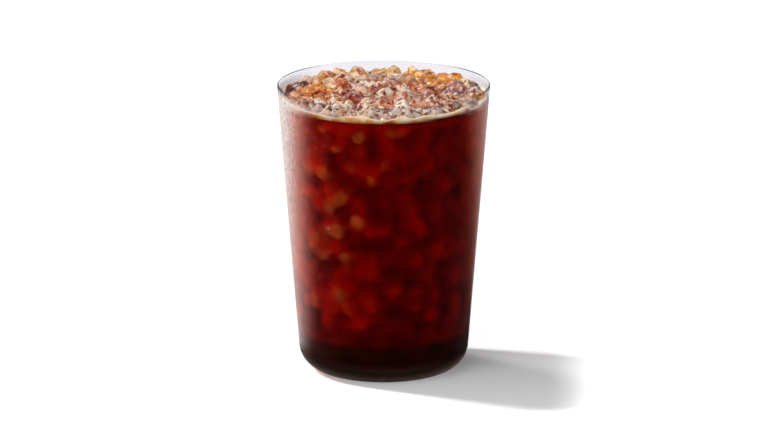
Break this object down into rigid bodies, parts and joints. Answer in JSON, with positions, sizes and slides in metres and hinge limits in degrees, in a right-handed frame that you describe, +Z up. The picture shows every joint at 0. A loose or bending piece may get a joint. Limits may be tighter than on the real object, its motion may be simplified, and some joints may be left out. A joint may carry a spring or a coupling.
{
  "type": "glass of iced americano",
  "caption": "Tall tapered glass tumbler filled with dark iced coffee, a thin tan foam line and pebble ice heaped to the rim.",
  "frame": {"origin": "centre of the glass's foot, on the surface it stands on", "axes": "+Z up along the glass's axis; the shown side faces -Y"},
  "size_m": [0.088, 0.088, 0.1208],
  "materials": {
    "glass": "clear, smooth, finely fogged outside",
    "coffee": "clear dark red-brown liquid",
    "foam": "fine tan bubbles",
    "ice": "wet, half cloudy"
  },
  "bodies": {
    "root": {"glass": "glass", "coffee": "coffee", "crema": "foam", "ice_heap": "ice"}
  },
  "joints": []
}
